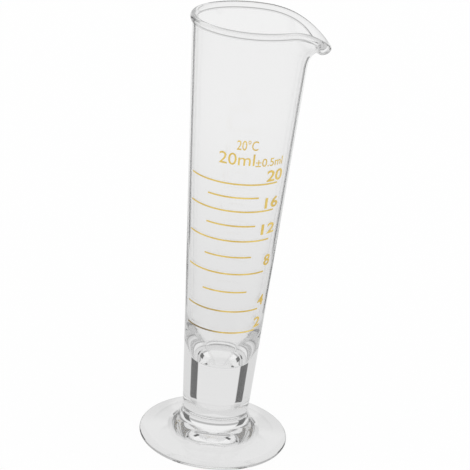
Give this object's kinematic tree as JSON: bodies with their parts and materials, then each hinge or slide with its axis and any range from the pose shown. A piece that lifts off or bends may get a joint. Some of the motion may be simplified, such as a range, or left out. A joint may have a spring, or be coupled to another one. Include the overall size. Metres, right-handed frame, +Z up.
{
  "type": "conical measuring glass",
  "caption": "Slim conical glass measure with a beaded rim, a drooping pouring lip, printed volume lines, a solid stem and a flared round foot.",
  "frame": {"origin": "centre of the foot, on the table", "axes": "+Z up the axis of the bowl; the printed scale faces -Y; the pouring lip leans out beside +X"},
  "size_m": [0.042, 0.042, 0.1227],
  "materials": {
    "clear_glass": "smooth fire-polished clear glass",
    "enamel": "thin fired enamel print, golden yellow"
  },
  "bodies": {
    "root": {"bowl": "clear_glass", "stem": "clear_glass", "foot": "clear_glass", "line_02_ml": "enamel", "line_04_ml": "enamel", "line_06_ml": "enamel", "line_08_ml": "enamel", "line_10_ml": "enamel", "line_12_ml": "enamel", "line_14_ml": "enamel", "line_16_ml": "enamel", "line_18_ml": "enamel", "line_20_ml": "enamel"}
  },
  "joints": []
}
